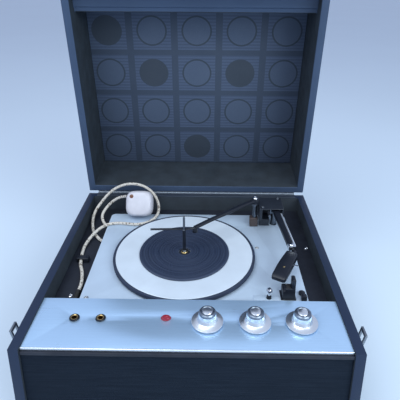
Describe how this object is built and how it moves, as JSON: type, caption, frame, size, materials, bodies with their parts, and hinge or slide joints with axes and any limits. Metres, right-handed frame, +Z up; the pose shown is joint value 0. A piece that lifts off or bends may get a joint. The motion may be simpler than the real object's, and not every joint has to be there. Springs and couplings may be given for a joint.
{
  "type": "suitcase record player",
  "caption": "Portable record player in a cloth-covered case: hinged lid, autochanger deck with pickup arm, control panel with knobs and sockets, front loudspeaker, carry handle and mains lead.",
  "frame": {"origin": "centre of the case's underside, midway between its side walls and between the front and rear edges of its rim", "axes": "+X to the user's right, +Y to the rear, +Z up"},
  "size_m": [0.4346, 0.4905, 0.529],
  "materials": {
    "leathercloth": "satin grained covering",
    "speaker_cloth": "woven",
    "plywood": "bare",
    "dark_board": "stained matte",
    "liner_paper": "printed lining",
    "panel_aluminium": "brushed",
    "deck_paint": "satin hammered",
    "rubber": "matte",
    "black_plastic": "polished",
    "chrome": "polished",
    "steel": "plated",
    "brass": "turned",
    "red_lens": "faceted",
    "valve_glass": "clear with getter",
    "paper_cone": "pressed paper",
    "white_plastic": "moulded",
    "cord_cover": "braided"
  },
  "bodies": {
    "case": {"base_case": "leathercloth", "foot_front_left": "rubber", "foot_front_right": "rubber", "foot_rear_left": "rubber", "foot_rear_right": "rubber", "front_baffle": "plywood", "speaker_cloth": "speaker_cloth", "speaker_frame": "steel", "speaker_cone": "paper_cone", "control_panel": "panel_aluminium", "panel_trim": "chrome", "panel_bulkhead": "dark_board", "volume_potentiometer": "steel", "bass_potentiometer": "steel", "treble_potentiometer": "steel", "jack_socket_left": "brass", "jack_socket_right": "brass", "pilot_light": "red_lens", "motor_board": "dark_board", "amplifier_chassis": "steel", "output_valve": "valve_glass", "output_transformer": "steel", "unit_plate": "deck_paint", "deck_spring_front_left": "steel", "deck_spring_front_right": "steel", "deck_spring_rear_right": "steel", "record_spindle": "chrome", "drive_motor": "steel", "arm_pedestal": "black_plastic", "arm_rest": "black_plastic", "overarm_post": "chrome", "hinge_base_leaf": "steel", "catch_plate_left": "steel", "catch_plate_right": "steel", "handle_bracket_front": "chrome", "handle_bracket_rear": "chrome", "strain_relief": "cord_cover", "mains_cord": "cord_cover", "cord_clip": "black_plastic", "mains_plug": "white_plastic"},
    "lid": {"lid_shell": "leathercloth", "lid_liner": "liner_paper", "hinge_lid_leaf": "steel"},
    "turntable": {"platter": "deck_paint", "platter_mat": "rubber"},
    "idler": {"idler_wheel": "rubber"},
    "motor_spindle": {"motor_pulley": "brass"},
    "volume_control": {"volume_knob": "chrome"},
    "bass_control": {"bass_knob": "chrome"},
    "treble_control": {"treble_knob": "chrome"},
    "start_reject": {"start_control": "chrome"},
    "speed_selector": {"speed_lever": "black_plastic"},
    "arm_gimbal": {"arm_yoke": "steel"},
    "arm": {"pickup_arm": "black_plastic", "headshell": "black_plastic", "pickup_cartridge": "white_plastic"},
    "steadying_arm": {"overarm": "black_plastic"},
    "left_catch": {"catch_lever_left": "chrome"},
    "right_catch": {"catch_lever_right": "chrome"},
    "handle": {"carry_handle": "black_plastic"}
  },
  "joints": [
    {"name": "lid_hinge", "type": "hinge", "parent": "case", "child": "lid", "pos_m": [0, 0.1906, 0.1308], "axis": [1, 0, 0], "range_deg": [-8, 83]},
    {"name": "platter_spin", "type": "hinge", "parent": "case", "child": "turntable", "pos_m": [-0.013, 0.012, 0.12], "axis": [0, 0, -1], "continuous": true},
    {"name": "idler_spin", "type": "hinge", "parent": "case", "child": "idler", "pos_m": [0.0312, 0.08856, 0.118], "axis": [0, 0, -1], "continuous": true},
    {"name": "motor_spin", "type": "hinge", "parent": "case", "child": "motor_spindle", "pos_m": [0.04704, 0.07272, 0.118], "axis": [0, 0, -1], "continuous": true},
    {"name": "volume_turn", "type": "hinge", "parent": "case", "child": "volume_control", "pos_m": [0.0236, -0.1395, 0.13], "axis": [0, 0, -1], "range_deg": [-150, 150]},
    {"name": "bass_turn", "type": "hinge", "parent": "case", "child": "bass_control", "pos_m": [0.0827, -0.1395, 0.13], "axis": [0, 0, -1], "range_deg": [-150, 150]},
    {"name": "treble_turn", "type": "hinge", "parent": "case", "child": "treble_control", "pos_m": [0.1404, -0.1395, 0.13], "axis": [0, 0, -1], "range_deg": [-150, 150]},
    {"name": "start_slide", "type": "slide", "parent": "case", "child": "start_reject", "axis": [1, 0, 0], "range_m": [-0.008, 0.008]},
    {"name": "speed_turn", "type": "hinge", "parent": "case", "child": "speed_selector", "pos_m": [0.155, -0.07, 0.114], "axis": [0, 0, 1], "range_deg": [-6, 22]},
    {"name": "tonearm_swing", "type": "hinge", "parent": "case", "child": "arm_gimbal", "pos_m": [0.139, 0.112, 0.146], "axis": [0, 0, -1], "range_deg": [0, 31]},
    {"name": "tonearm_lift", "type": "hinge", "parent": "arm_gimbal", "child": "arm", "pos_m": [0.139, 0.112, 0.146], "axis": [-0.9969, -0.0785, 0], "range_deg": [0, 5.5]},
    {"name": "overarm_swing", "type": "hinge", "parent": "case", "child": "steadying_arm", "pos_m": [0.104, 0.106, 0.163], "axis": [0, 0, 1], "range_deg": [0, 55]},
    {"name": "left_catch_pivot", "type": "hinge", "parent": "case", "child": "left_catch", "pos_m": [-0.21, -0.148, 0.096], "axis": [0, 1, 0], "range_deg": [-30, 9]},
    {"name": "right_catch_pivot", "type": "hinge", "parent": "case", "child": "right_catch", "pos_m": [0.21, -0.148, 0.096], "axis": [0, -1, 0], "range_deg": [-30, 9]},
    {"name": "handle_swing", "type": "hinge", "parent": "case", "child": "handle", "pos_m": [0.212, 0, 0.074], "axis": [0, -1, 0], "range_deg": [0, 100]}
  ],
  "couplings": [
    {"joint": "idler_spin", "follows": "platter_spin", "ratio": 5.9333},
    {"joint": "motor_spin", "follows": "platter_spin", "ratio": -26.7}
  ]
}
